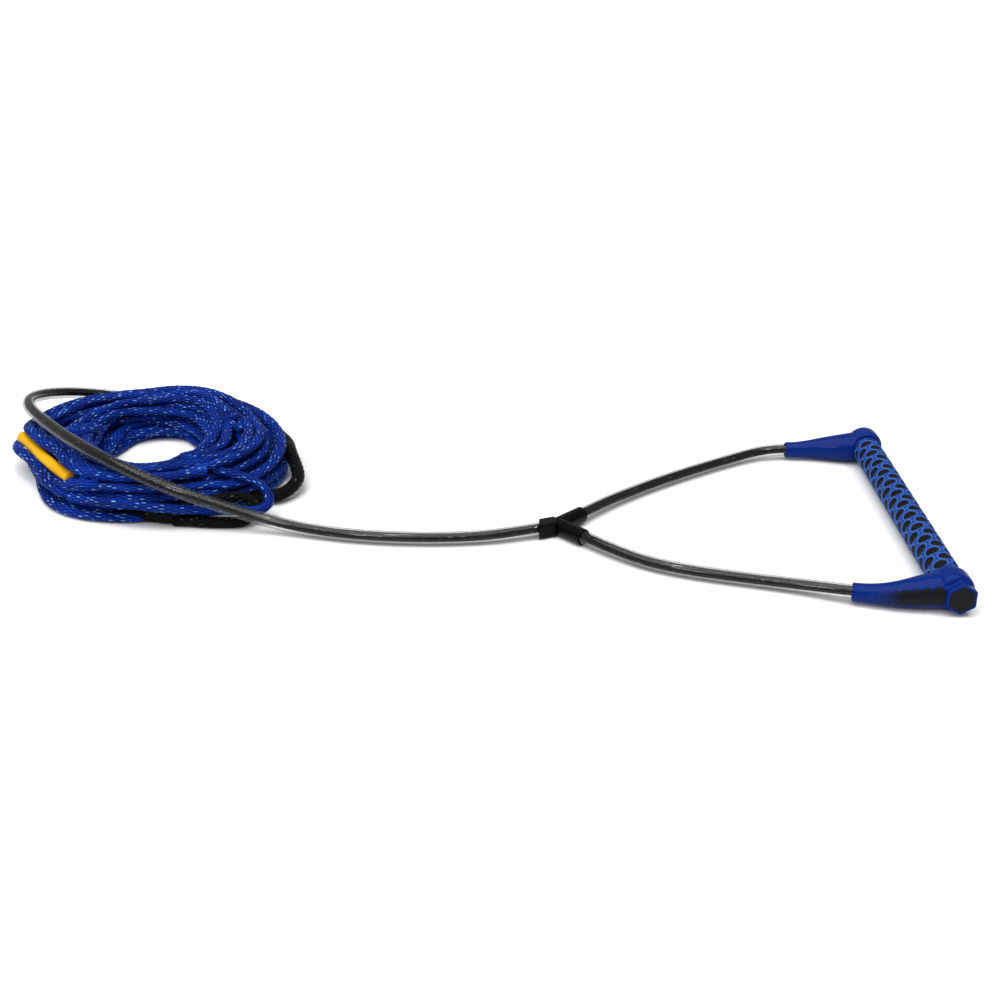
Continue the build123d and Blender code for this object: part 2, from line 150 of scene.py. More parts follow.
# ---- materials ----
def braid_material(name, columns, pitch, gap, body, top, painted_glint, painted_glint_share, rough, bump):
    """Hollow braid: two families of strands, every column of stitches slants the other way. Its colour holds
    painted shade in the gaps between strands, a painted highlight on the stitches' crests and painted glints on
    some stitches.
    """
    m = Mat(name)
    uv = m.node("ShaderNodeUVMap", uv_map="line").outputs[0]
    split = m.node("ShaderNodeSeparateXYZ")
    m.feed(split.inputs[0], uv)
    u, v = split.outputs[0], split.outputs[1]
    along = m.math("DIVIDE", u, pitch)
    around = m.math("MULTIPLY", v, columns / 2)
    a = m.math("ADD", along, around)
    b = m.math("SUBTRACT", along, around)
    na, nb = m.math("FLOOR", a), m.math("FLOOR", b)
    fa, fb = m.math("SUBTRACT", a, na), m.math("SUBTRACT", b, nb)
    odd = m.math("FLOORED_MODULO", m.math("ADD", na, nb), 2.0)
    even = m.math("SUBTRACT", 1.0, odd)
    across = m.math("ADD", m.math("MULTIPLY", fa, even), m.math("MULTIPLY", fb, odd))
    down = m.math("ADD", m.math("MULTIPLY", fb, even), m.math("MULTIPLY", fa, odd))
    strand = m.math("ADD", m.math("MULTIPLY", na, even), m.math("MULTIPLY", nb, odd))
    hump = m.math("SINE", m.math("MULTIPLY", across, math.pi))
    rise = m.math("SINE", m.math("MULTIPLY", down, math.pi))
    high = m.math("MULTIPLY", m.math("POWER", hump, 0.6), m.math("POWER", rise, 0.5))
    fibre_at = m.vector(m.math("MULTIPLY", across, 6.0), m.math("MULTIPLY", down, 0.8), strand)
    fibre = m.noise(1.6, 2.0, fibre_at)
    cell = m.node("ShaderNodeTexWhiteNoise", noise_dimensions="2D")
    m.feed(cell.inputs["Vector"], m.vector(na, nb))
    # painted glints: in a share of the cells the raised fibres get a pale colour that stands in for highlights
    lucky = m.math("LESS_THAN", cell.outputs[0], painted_glint_share)
    glint = m.math("MULTIPLY", lucky, m.ramp(m.math("MULTIPLY", high, fibre), 0.38, 0.56))
    slow = m.noise(28.0, 2.0)
    uneven = m.math("MULTIPLY", m.math("SUBTRACT", fibre, 0.5), 0.5)
    # painted shade and highlight: the gap colour darkens the low places between strands, the top colour lightens
    # the stitches' crests
    level = m.ramp(m.math("ADD", high, uneven), 0.25, 1.0)
    colour = m.mix(level, gap, body)
    colour = m.mix(m.math("MULTIPLY", level, m.ramp(slow, 0.35, 0.75)), colour, top)
    colour = m.mix(glint, colour, painted_glint)
    relief = m.math("ADD", high, m.math("MULTIPLY", fibre, 0.25))
    shine = m.math("SUBTRACT", rough, m.math("MULTIPLY", glint, 0.15))
    return m.surface(
        m.principled(
            Base_Color=colour, Roughness=shine, Normal=m.bump(relief, bump, 0.9), Specular_IOR_Level=0.08
        )
    )


def rubber_material(name, colour, pale, rough, grain, coat=0.0):
    """Moulded rubber or vinyl: fine grain, faint cloudiness, slight wear."""
    m = Mat(name)
    cloud = m.noise(35.0, 3.0)
    fine = m.noise(1400.0, 2.0)
    base = m.mix(m.math("MULTIPLY", m.ramp(cloud, 0.35, 0.75), 0.5), colour, pale)
    normal = m.bump(m.math("ADD", m.math("MULTIPLY", fine, 0.3), cloud), grain, 0.4)
    shine = m.math("ADD", rough, m.math("MULTIPLY", m.math("SUBTRACT", fine, 0.5), 0.12))
    return m.surface(
        m.principled(
            Base_Color=base, Roughness=shine, Normal=normal, Coat_Weight=coat, Coat_Roughness=0.04,
            Coat_IOR=1.3, Specular_IOR_Level=0.03,
        )
    )


def inlay_material():
    """Black hexagons that turn blue towards the snout."""
    m = Mat("inlay")
    split = m.node("ShaderNodeSeparateXYZ")
    m.feed(split.inputs[0], m.coords())
    fade = m.ramp(split.outputs[0], -0.040, -0.014)
    fine = m.noise(900.0, 3.0)
    dark = m.mix(fine, rgb(6, 6, 8), rgb(14, 13, 16))
    colour = m.mix(fade, rgb(0, 36, 118), dark)
    normal = m.bump(fine, 0.0003, 0.4)
    return m.surface(m.principled(Base_Color=colour, Roughness=0.5, Normal=normal, Specular_IOR_Level=0.15))


def metal_material():
    """Aluminium tube, drawn along its length."""
    m = Mat("bar_aluminium")
    stretched = m.node("ShaderNodeMapping")
    m.feed(stretched.inputs["Vector"], m.coords())
    stretched.inputs["Scale"].default_value = (900, 12, 900)
    lines = m.noise(1.0, 3.0, stretched.outputs[0])
    colour = m.mix(lines, rgb(190, 192, 196), rgb(214, 215, 218))
    normal = m.bump(lines, 0.0001, 0.3)
    return m.surface(m.principled(Base_Color=colour, Metallic=1.0, Roughness=0.32, Normal=normal))


def web_material():
    """Blue foam net over a black core: lighter along its edges and darker in its knots."""
    m = Mat("grip_web")
    edge = m.attribute("edge")
    opening = m.attribute("opening")
    knot = m.attribute("knot")
    fine = m.noise(1300.0, 3.0)
    blue = m.mix(fine, rgb(12, 52, 130), rgb(20, 64, 146))
    blue = m.mix(knot, blue, rgb(6, 40, 122))
    blue = m.mix(edge, blue, rgb(60, 106, 178))
    black = m.mix(fine, rgb(4, 3, 3), rgb(13, 12, 10))
    colour = m.mix(m.ramp(opening, 0.35, 0.65), blue, black)
    normal = m.bump(fine, 0.0005, 0.5)
    return m.surface(m.principled(Base_Color=colour, Roughness=0.62, Normal=normal, Specular_IOR_Level=0.15))


def clear_material():
    """Clear vinyl: see-through straight on, pale and shiny where the wall is seen edge on."""
    m = Mat("clear_vinyl")
    facing = m.node("ShaderNodeLayerWeight")
    facing.inputs["Blend"].default_value = 0.5
    edge = facing.outputs["Facing"]
    clear = m.node("ShaderNodeBsdfTransparent")
    tint = m.mix(m.ramp(edge, 0.0, 0.8), (0.94, 0.94, 0.935, 1), (0.60, 0.60, 0.59, 1))
    m.feed(clear.inputs[0], tint)
    pale = m.mix(m.noise(40.0, 2.0), rgb(226, 226, 224), rgb(250, 250, 248))
    wall = m.principled(Base_Color=pale, Metallic=1.0, Roughness=0.14)
    haze = m.math("ADD", m.math("MULTIPLY", m.math("POWER", edge, 3.5), 0.52), 0.035)
    mixed = m.node("ShaderNodeMixShader")
    m.feed(mixed.inputs[0], haze)
    m.feed(mixed.inputs[1], clear.outputs[0])
    m.feed(mixed.inputs[2], wall)
    return m.surface(mixed.outputs[0])


# the gap colours are painted shade between the strands, the top colours a painted highlight on their crests, and
# the pale third colours painted glints
blue_rope = braid_material(
    "blue_rope", columns=16, pitch=0.0125, gap=rgb(0, 14, 66), body=rgb(0, 40, 142), top=rgb(6, 66, 186),
    painted_glint=rgb(110, 164, 236), painted_glint_share=0.30, rough=0.5, bump=0.0011,
)
black_rope = braid_material(
    "black_rope", columns=16, pitch=0.0100, gap=rgb(0, 0, 0), body=rgb(2, 2, 3), top=rgb(9, 9, 10),
    painted_glint=rgb(84, 84, 86), painted_glint_share=0.12, rough=0.5, bump=0.0011,
)
tube_rope = braid_material(
    "tube_rope", columns=14, pitch=0.0110, gap=rgb(0, 0, 0), body=rgb(4, 4, 4), top=rgb(18, 18, 17),
    painted_glint=rgb(110, 110, 106), painted_glint_share=0.07, rough=0.4, bump=0.0005,
)
cap_rubber = rubber_material("cap_rubber", rgb(0, 32, 107), rgb(0, 39, 119), 0.4, 0.0002, coat=0.3)
yoke_rubber = rubber_material("yoke_rubber", rgb(2, 2, 2), rgb(6, 6, 5), 0.3, 0.0002, coat=0.3)
grip_black = rubber_material("grip_black", rgb(14, 13, 13), rgb(22, 21, 20), 0.75, 0.0004)
plug_nylon = rubber_material("plug_nylon", rgb(18, 18, 19), rgb(30, 30, 32), 0.5, 0.0002)
tag_vinyl = rubber_material("tag_vinyl", rgb(226, 166, 16), rgb(238, 182, 32), 0.42, 0.0003, coat=0.2)
inlay_black = inlay_material()
bar_aluminium = metal_material()
grip_web_material = web_material()
clear_vinyl = clear_material()


# ---- objects ----
def link(obj):
    bpy.context.scene.collection.objects.link(obj)
    return obj


def smooth_object(name, mesh):
    """A smooth-shaded object for a new mesh."""
    mesh.polygons.foreach_set("use_smooth", np.ones(len(mesh.polygons), bool))
    return link(bpy.data.objects.new(name, mesh))


def paint(obj, material):
    obj.data.materials.clear()
    obj.data.materials.append(material)
    return obj


# ---- lines ----
def mm(points):
    return [Vector(p) * MM for p in points]


def line_points(points, detail=8):
    """Points along a smooth curve that has the route's points as its control points."""
    data = bpy.data.curves.new("route", "CURVE")
    data.dimensions = "3D"
    spline = data.splines.new("NURBS")
    spline.points.add(len(points) - 1)
    for point, place in zip(spline.points, points):
        point.co = (*place, 1.0)
    spline.order_u = 3
    spline.use_endpoint_u = True
    spline.resolution_u = detail
    curve = link(bpy.data.objects.new("route", data))
    bpy.context.view_layer.update()
    mesh = bpy.data.meshes.new_from_object(curve)
    found = np.array([v.co for v in mesh.vertices])
    bpy.data.meshes.remove(mesh)
    bpy.data.objects.remove(curve)
    bpy.data.curves.remove(data)
    return found


def spaced(line, step):
    """The same line with evenly spaced points, and its length."""
    run = np.linalg.norm(np.diff(line, axis=0), axis=1)
    at = np.concatenate([[0], np.cumsum(run)])
    count = max(int(round(at[-1] / step)), 4)
    want = np.linspace(0, at[-1], count + 1)
    return np.stack([np.interp(want, at, line[:, k]) for k in range(3)], 1), at[-1]


def frames(line):
    """Side and up vectors along a line; up stays as close to vertical as it can."""
    tangent = np.gradient(line, axis=0)
    tangent /= np.linalg.norm(tangent, axis=1)[:, None]
    up = np.zeros_like(line)
    last = np.array([0.0, 0.0, 1.0])
    for i, t in enumerate(tangent):
        last = last * 0.9 + np.array([0, 0, 0.1])
        last = last - t * last.dot(t)
        last /= np.linalg.norm(last)
        up[i] = last
    return np.cross(up, tangent), up


def smoothstep(x):
    return x**2 * (3 - 2 * x)


# ---- braided tubes ----
def braid_height(u, v, columns, pitch):
    """Height of the braid's surface, 0 to 1, at a length along and a share of the way round."""
    a = u / pitch + v * columns / 2
    b = u / pitch - v * columns / 2
    na, nb = np.floor(a), np.floor(b)
    odd = (na + nb) % 2
    across = np.where(odd > 0.5, b - nb, a - na)
    down = np.where(odd > 0.5, a - na, b - nb)
    return np.sin(across * math.pi) ** 0.6 * np.sin(down * math.pi) ** 0.5


def line_uv(mesh, at, share, turned, quad_count):
    """UV layer for the braid: length along the line, and share of the way round plus its twist."""
    around = len(share)
    loops = np.zeros(len(mesh.loops), int)
    mesh.loops.foreach_get("vertex_index", loops)
    u = np.concatenate([np.repeat(at, around), at[[0, -1]]])[loops]
    v = np.concatenate([np.tile(share, len(at)), [0, 0]])[loops]
    quad_v = v[: quad_count * 4].reshape(-1, 4)
    wrap = (quad_v.max(1) - quad_v.min(1)) > 0.5
    quad_v[wrap] = np.where(quad_v[wrap] < 0.5, quad_v[wrap] + 1.0, quad_v[wrap])
    v[: quad_count * 4] = quad_v.reshape(-1)
    v += np.concatenate([np.repeat(turned, around), turned[[0, -1]]])[loops]
    mesh.uv_layers.new(name="line").data.foreach_set("uv", np.stack([u, v], 1).reshape(-1))


def tube(name, line, width, height, around=24, braid=None, relief=0.0, start=0.0, twist=0.0, swell=None):
    """A mesh tube along a line, its section an ellipse, with a braided surface if asked.

    braid is (columns, pitch), relief the height of its strands, twist its turn in radians per metre,
    start the length at which its pattern begins, and swell a scale of the section along the line."""
    side, up = frames(line)
    run = np.linalg.norm(np.diff(line, axis=0), axis=1)
    at = np.concatenate([[0], np.cumsum(run)]) + start
    share = np.arange(around) / around
    turned = twist * at / TURN
    scale = np.ones(len(line)) if swell is None else swell(at - start)
    offset = np.zeros((len(line), around))
    if braid:
        offset = (braid_height(at[:, None], share[None, :] + turned[:, None], *braid) - 0.6) * relief
    x = np.cos(TURN * share)[None, :] * ((width / 2 * scale)[:, None] + offset)
    y = np.sin(TURN * share)[None, :] * ((height / 2 * scale)[:, None] + offset)
    co = line[:, None, :] + side[:, None, :] * x[..., None] + up[:, None, :] * y[..., None]
    co = np.concatenate([co.reshape(-1, 3), line[[0, -1]]])
    i = np.arange(len(line) - 1)[:, None] * around
    j = np.arange(around)[None, :]
    k = (j + 1) % around
    quads = np.stack([i + j, i + k, i + around + k, i + around + j], -1).reshape(-1, 4)
    faces = quads.tolist()
    first_cap = len(line) * around
    last_ring = first_cap - around
    for n in range(around):
        after = (n + 1) % around
        faces.append([first_cap, after, n])
        faces.append([first_cap + 1, last_ring + n, last_ring + after])
    mesh = bpy.data.meshes.new(name)
    mesh.from_pydata(co.tolist(), [], faces)
    mesh.update()
    line_uv(mesh, at, share, turned, len(quads))
    return smooth_object(name, mesh)


# ---- routes, the same points as the CAD model's ----
YOKE = Vector((-0.309, -0.023, 0.0083))
SNOUT = {"left": Vector((-0.052, -0.163, 0.0105)), "right": Vector((-0.052, 0.174, 0.0105))}
TOE_IN = {"left": 13.0, "right": 0.0}  # of the caps' arms, in degrees
TRUNK_ANGLE = 203
LEG_ANGLE = {"left": -47, "right": 47}


def yoke_point(angle, distance):
    """A point beside the yoke's centre, in a direction in degrees."""
    a = math.radians(angle)
    return YOKE + Vector((math.cos(a), math.sin(a), 0)) * distance


def snout_point(side, distance):
    """A point ahead of a cap's snout, along its arm."""
    toe = math.radians(TOE_IN[side])
    inward = 1 if side == "left" else -1
    return SNOUT[side] + Vector((-math.cos(toe), inward * math.sin(toe), 0)) * distance


LEG = {
    "left": [snout_point("left", -0.016), snout_point("left", 0.008)]
    + mm(
        [
            (-84, -150, 8.2),
            (-120, -138, 6.8),
            (-160, -127, 6.8),
            (-198, -115, 6.8),
            (-231, -98, 6.8),
            (-256, -77.5, 7.6),
        ]
    )
    + [yoke_point(LEG_ANGLE["left"], 0.052), yoke_point(LEG_ANGLE["left"], 0.027)],
    "right": [snout_point("right", -0.016), snout_point("right", 0.008)]
    + mm(
        [
            (-85, 169, 8.5),
            (-112, 154, 6.8),
            (-152, 126, 6.8),
            (-196, 92, 6.8),
            (-232, 60, 6.8),
            (-255, 37, 7.6),
        ]
    )
    + [yoke_point(LEG_ANGLE["right"], 0.052), yoke_point(LEG_ANGLE["right"], 0.027)],
}
TRUNK = [yoke_point(TRUNK_ANGLE, 0.014), yoke_point(TRUNK_ANGLE, 0.042)] + mm(
    [
        (-392, -49, 6.8),
        (-452, -51, 6.8),
        (-509, -45, 6.8),
        (-558, -32, 7.5),
        (-601, -22, 14),
        (-646, -19, 28),
        (-691, -15, 43),
        (-734, 4, 54),
        (-778, 38, 59),
        (-820, 81, 61),
        (-857, 127, 61.5),
        (-885, 170, 60),
        (-896, 209, 55),
        (-891, 247, 47),
        (-871, 280, 37),
        (-837, 303, 26),
        (-795, 311, 15.5),
        (-751, 307, 8.5),
        (-709, 294, 6.8),
        (-673, 276, 6.8),
    ]
)
TAIL = mm(
    [
        (-673, 276, 6.8),
        (-643, 261, 6.8),
        (-628, 236, 8.5),
        (-617, 203.5, 14.5),
        (-600.5, 166.5, 19),
        (-593.5, 134, 21.5),
        (-582.5, 103, 17),
        (-576, 75.5, 14),
        (-588.5, 49, 8.5),
        (-617.5, 41.5, 7),
        (-647, 44, 6.8),
        (-678, 54, 6.8),
        (-706, 62, 6.8),
        (-731, 60, 6.8),
        (-750, 47, 6.8),
        (-756, 28, 6.8),
        (-746, 11, 6.8),
        (-728, 3, 6.8),
        (-708, -1, 6.8),
    ]
)
EYE = mm(
    [
        (-690, -5, 16.4),
        (-677, -4, 16.8),
        (-660, 6, 19.5),
        (-640, 15, 20.8),
        (-620.5, 16, 20.5),
        (-611, 8, 16),
        (-611, -4, 10),
        (-620.5, -12, 5.6),
        (-640, -13, 5.6),
        (-660, -12, 5.6),
        (-677, -9, 5.6),
        (-690, -9, 5.6),
    ]
)
HITCH = mm(
    [
        (-656, 47, 36),
        (-635, 37, 36.5),
        (-613, 28, 33.5),
        (-599, 17, 27),
        (-595, 4, 19.5),
        (-603, -5, 15),
        (-618, -4, 14),
        (-640, -4, 14.7),
        (-658, -8, 17.2),
        (-676, -14, 20),
        (-698, -17, 22.7),
        (-721, -14, 24),
        (-746, -7, 24),
        (-772, 2, 21.5),
        (-798, 16, 19),
    ]
)
TAG = mm(
    [
        (-886, 148, 31),
        (-868, 121, 31.8),
        (-850.5, 96.5, 31.8),
        (-834, 74.5, 31.3),
        (-818, 56, 30.4),
        (-803, 41, 29.2),
    ]
)
SPLICE = mm([(-716, 0, 8.2), (-704, -2, 10.3), (-694, -5, 10.8), (-682, -6, 11)])
JOINS = [  # centre, and heading in degrees
    ((-820, 132, 40), 60),
    ((-775, 18, 30), 160),
    ((-663, 175, 40), 125),
    ((-683, 58, 40), 35),
]

# ---- black rope and clear tube of the legs and the trunk ----
TUBE_D = 0.0134
INNER_D = 0.0086  # of the rope inside the tube
LIFT = 0.0008  # the rope lies along the top of its tube
FINE_STEP = 0.0016  # between the rings of a braided rope
COARSE_STEP = 0.005  # between the rings of a clear tube

blends = []


def tubed_rope(name, rope_node, tube_node, points, bodies, start, end):
    """A black rope in a clear tube along a route, kept in blends with its two bodies and two points."""
    line, length = spaced(line_points(points), FINE_STEP)
    _, up = frames(line)
    rope = tube(f"{name}_rope_braid", line + up * LIFT, INNER_D, INNER_D, 24, (16, 0.0075), 0.0005, twist=4.0)
    paint(rope, tube_rope)
    coarse, _ = spaced(line_points(points), COARSE_STEP)
    shell = paint(tube(f"{name}_tube_clear", coarse, TUBE_D, TUBE_D, 40), clear_vinyl)
    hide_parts(rope_node)
    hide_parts(tube_node)
    for piece, diameter in ((rope, INNER_D), (shell, TUBE_D)):
        blends.append((piece, *bodies, start, end))


for side in ("left", "right"):
    tubed_rope(
        f"leg_{side}", f"leg_rope_{side}", f"leg_tube_{side}", LEG[side], ("handle", "bridle"),
        snout_point(side, -0.005), snout_point(side, 0.12),
    )
tubed_rope(
    "trunk", "trunk_rope", "trunk_tube", TRUNK, ("bridle", "line"),
    yoke_point(TRUNK_ANGLE, 0.013), yoke_point(TRUNK_ANGLE, 0.045),
)


# ---- black tail, its eye and the splice between them, and the blue hitch ----
def braided_cord(name, node, points, step, size, around, braid, relief, twist, material):
    """A free rope along a route, as a braided tube."""
    line, length = spaced(line_points(points), step)
    piece = paint(tube(name, line, *size, around, braid, relief, twist=twist), material)
    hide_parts(node)
    return piece


tail = braided_cord(
    "tail_braid", "tail_rope", TAIL, step=FINE_STEP, size=(0.0134, 0.0126), around=28, braid=(16, 0.0088),
    relief=0.0009, twist=3.0, material=black_rope,
)
eye = braided_cord(
    "tail_eye_braid", "tail_eye", EYE, step=FINE_STEP, size=(0.0112, 0.0108), around=26, braid=(14, 0.0080),
    relief=0.0008, twist=3.0, material=black_rope,
)

SPLICE_TAPER = 0.012  # length over which the splice swells from its ends
SPLICE_END = 0.75  # size of its ends, as a share of its middle
splice_line, splice_length = spaced(line_points(SPLICE), 0.0012)


def splice_swell(at):
    start = np.clip(at / SPLICE_TAPER, 0, 1)
    end = np.clip((splice_length - at) / SPLICE_TAPER, 0, 1)
    return SPLICE_END + (1.0 - SPLICE_END) * np.minimum(start, end)


splice = paint(
    tube("tail_splice_braid", splice_line, 0.0150, 0.0195, 30, (18, 0.0080), 0.0008, swell=splice_swell),
    black_rope,
)
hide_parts("tail_splice")

LINE_BRAID = (14, 0.0125)  # columns and pitch of the blue line
hitch = braided_cord(
    "line_hitch_braid", "line_hitch", HITCH, step=0.0014, size=(0.0104, 0.0088), around=28, braid=LINE_BRAID,
    relief=0.0009, twist=5.0, material=blue_rope,
)


# ---- coiled main line: where its turns may lie ----
COIL_CENTRE = np.array([-0.748, 0.139])
COIL_R = (0.160, 0.131)
COIL_TILT = math.radians(-35)
HOLE_CENTRE = np.array([-0.742, 0.139])
HOLE_R = (0.055, 0.088)
HOLE_TILT = math.radians(12)
COIL_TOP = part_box("mainline_coil")[1][2]
COIL_ROUNDING = 0.015
LINE_WIDE, LINE_THICK = 0.0118, 0.0084  # the hollow braid lies flattened
PER_TURN = 72  # points


def polar(theta, radii, tilt):
    """Radius of an ellipse at an angle."""
    c, s = np.cos(theta - tilt), np.sin(theta - tilt)
    return 1 / np.sqrt((c / radii[0]) ** 2 + (s / radii[1]) ** 2)


def rounded_inset(z, top, rounding):
    """How far a wall with a rounded upper edge has drawn in at this height."""
    over = np.clip(z - (top - rounding), 0, rounding)
    return rounding - np.sqrt(np.maximum(rounding**2 - over**2, 0))


def near_angle(theta, middle, width):
    """1 at this angle (degrees), falling to 0 on both sides."""
    off = np.abs((theta - math.radians(middle) + math.pi) % TURN - math.pi)
    return np.exp(-((off / math.radians(width)) ** 2))


def crest(theta):
    """How much higher or lower than its middle height the coil's top is."""
    hump = 0.006 * near_angle(theta, 64, 24)
    return hump - 0.003 * near_angle(theta, 105, 15) - 0.007 * near_angle(theta, 155, 25)


def coil_place(theta, share, z):
    """A point between the coil's inner and outer wall at this height."""
    direction = np.stack([np.cos(theta), np.sin(theta)], -1)
    margin = LINE_WIDE / 2 * 0.9
    cut = rounded_inset(z, COIL_TOP - LINE_THICK / 2, COIL_ROUNDING) * 0.8
    low = smoothstep(np.clip(1.15 - z / 0.024, 0, 1))
    high = smoothstep(np.clip((z - 0.022) / 0.012, 0, 1))
    bulge = 0.010 * low * near_angle(theta, 248, 28)
    upper_tuck = high * 0.020 * near_angle(theta, 216, 22)
    lower_tuck = (1 - high) * (0.014 + 0.003 * low) * near_angle(theta, 194, 38)
    lean = 0.004 * near_angle(theta, 60, 60)
    inner_reach = polar(theta, HOLE_R, HOLE_TILT) + margin + cut
    outer_reach = polar(theta, COIL_R, COIL_TILT) - margin - cut + bulge - (upper_tuck + lower_tuck) + lean
    inner = HOLE_CENTRE + direction * inner_reach[..., None]
    outer = COIL_CENTRE + direction * outer_reach[..., None]
    plan = inner + (outer - inner) * share[..., None]
    raised = z + crest(theta) * z / COIL_TOP
    return np.concatenate([plan, raised[..., None]], -1)


# ---- coiled main line: its turns, from the top layer down ----
LAYERS = ((0.0050, 6), (0.0142, 6), (0.0234, 6), (0.0326, 5), (0.0420, 5))  # height and turns
FIRST_TURN_ANGLE = math.radians(-52)
MOVE_SHARE = 0.3  # part of a turn in which the line moves over to its next place
SWAY = 0.26  # sideways wander, as a share of the coil's width
RIPPLE = 0.006  # up and down wander

places = []
for number, (z, count) in enumerate(LAYERS):
    row = [(n / (count - 1), z) for n in range(count)]
    places += row if number % 2 == 0 else row[::-1]
places = places[::-1]
turns = len(places)
turn_at = np.arange(turns * PER_TURN) / PER_TURN
theta = FIRST_TURN_ANGLE - TURN * np.arange(turns * PER_TURN) / PER_TURN
share = np.zeros(len(theta))
height = np.zeros(len(theta))
for n, angle in enumerate(theta):
    k = int(turn_at[n])
    now = places[k]
    after = places[min(k + 1, turns - 1)]
    begin = 0.15 + 0.5 * (0.5 + 0.5 * math.sin(k * 2.4))
    moved = smoothstep(min(max((turn_at[n] - k - begin) / MOVE_SHARE, 0.0), 1.0))
    sway = noise.noise(Vector((math.cos(angle) * 0.9, math.sin(angle) * 0.9, k * 7.3)))
    lift = noise.noise(Vector((math.cos(angle) * 1.1, math.sin(angle) * 1.1, k * 3.1 + 40)))
    share[n] = now[0] + (after[0] - now[0]) * moved + sway * SWAY
    height[n] = now[1] + (after[1] - now[1]) * moved + lift * RIPPLE
share = np.clip(share, 0.0, 1.0)
height = np.clip(height, LINE_THICK / 2, COIL_TOP - LINE_THICK / 2)

# ---- coiled main line: what its turns keep clear of ----
TAG_CLEAR = np.array([0.318, -0.878, 0.361])  # way out from the yellow sleeve's front, which no turn covers
TAG_CLEAR_REACHES = (0.008, 0.016, 0.024)
BLOCK_RADII = ((TAIL, 0.0065), (EYE, 0.0055), (TRUNK, 0.0067), (HITCH, 0.0048), (TAG, 0.0062))

blocks = []
for points, radius in BLOCK_RADII:
    block, _ = spaced(line_points(points), 0.006)
    blocks.append((block, radius))
    if points is TAG:
        blocks += [(block + TAG_CLEAR * reach, radius) for reach in TAG_CLEAR_REACHES]

# ---- coiled main line: its turns settle beside each other ----
SETTLE_STEPS = 90
SEARCH_EVERY = 6  # steps between two searches for neighbours
SEARCH_CHUNK = 256
NEIGHBOUR = 0.018
SPACING = LINE_WIDE * 0.97
PUSH_LIMIT = 0.002
PULL_BACK = 0.03  # share of the way back to its first place, each step
EVENING = 0.4
GAP = 0.001  # kept from other pieces
COIL_ROOF = COIL_TOP + 0.0045 + crest(theta)
COIL_FLOOR = LINE_THICK / 2 + 0.0006
FLATTEN = np.array([1.0, 1.0, LINE_WIDE / LINE_THICK])


def neighbours(coil):
    """Pairs of points that lie close to each other on different turns."""
    found = []
    for begin in range(0, len(coil), SEARCH_CHUNK):
        gap = (coil[begin : begin + SEARCH_CHUNK, None] - coil[None]) * FLATTEN
        i, j = np.nonzero((gap**2).sum(-1) < NEIGHBOUR**2)
        found.append(np.stack([i + begin, j], 1))
    found = np.concatenate(found)
    found = found[found[:, 1] - found[:, 0] > PER_TURN // 4]
    return found[:, 0], found[:, 1]


first_place = coil_place(theta, share, height)
coil = first_place.copy()
wall = coil_place(theta, np.ones(len(theta)), height)[:, :2]
wall_reach = np.linalg.norm(wall - COIL_CENTRE, axis=1)
for step in range(SETTLE_STEPS):
    if step % SEARCH_EVERY == 0:
        first, second = neighbours(coil)
    push = np.zeros_like(coil)
    gap = (coil[first] - coil[second]) * FLATTEN
    away = np.sqrt((gap**2).sum(-1)) + 1e-9
    shift = gap * (np.clip(SPACING - away, 0, 1) / away * 0.3)[:, None]
    np.add.at(push, first, shift)
    np.add.at(push, second, -shift)
    for block, radius in blocks:
        gap = coil[:, None, :] - block[None, :, :]
        away = np.sqrt((gap**2).sum(-1)) + 1e-9
        need = radius + LINE_THICK / 2 + GAP
        push += (gap * (np.clip(need - away, 0, 1) / away)[..., None]).sum(1) * 0.5
    reach = np.sqrt((push**2).sum(1)) + 1e-9
    push *= np.minimum(1, PUSH_LIMIT / reach)[:, None]
    coil = coil + push + (first_place - coil) * PULL_BACK
    moved = coil - first_place
    moved[1:-1] += EVENING * ((moved[:-2] + moved[2:]) / 2 - moved[1:-1])
    coil = first_place + moved
    plan = coil[:, :2] - COIL_CENTRE
    far = np.linalg.norm(plan, axis=1)
    coil[:, :2] = COIL_CENTRE + plan * np.minimum(1, (wall_reach + 0.001) / far)[:, None]
    coil[:, 2] = np.clip(coil[:, 2], COIL_FLOOR, COIL_ROOF - LINE_THICK / 2)

control = [Vector(p) for p in coil]
line, length = spaced(line_points(control, 3), 0.0022)
mainline = paint(
    tube("mainline_braid", line, LINE_WIDE, LINE_THICK, 24, LINE_BRAID, 0.0011, twist=1.6), blue_rope
)
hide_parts("mainline_coil")

# ---- joins: one length's eye passed through the next one's and pulled tight ----
UP = Vector((0, 0, 1))
for number, (centre, heading) in enumerate(JOINS, 1):
    c = Vector(centre) * MM + UP * 0.004
    h = math.radians(heading)
    ahead = Vector((math.cos(h), math.sin(h), 0))
    across = Vector((-math.sin(h), math.cos(h), 0))
    for way, part in ((1, "near"), (-1, "far")):
        f, g = ahead * way, across * way
        points = [
            c - f * 0.030 + g * 0.002 - UP * 0.004,
            c - f * 0.016 + g * 0.005,
            c - f * 0.002 + g * 0.009 + UP * 0.001,
            c + f * 0.008 + g * 0.004 + UP * 0.004,
            c + f * 0.008 - g * 0.004 + UP * 0.004,
            c - f * 0.002 - g * 0.009 + UP * 0.001,
            c - f * 0.016 - g * 0.005,
            c - f * 0.030 - g * 0.002 - UP * 0.004,
        ]
        line, _ = spaced(line_points(points), 0.0013)
        name = f"line_join_{number}_{part}"
        loop = paint(tube(name, line, 0.0088, 0.0072, 28, LINE_BRAID, 0.0010, start=0.003 * way), blue_rope)
        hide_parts(f"line_join_{number}")
        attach(loop, "line")

# ---- yellow sleeve ----
SLEEVE_D = 0.0118
SLEEVE_FLARE = 0.28
FLARE_LENGTH = 0.010
sleeve_line, sleeve_length = spaced(line_points(TAG), 0.002)


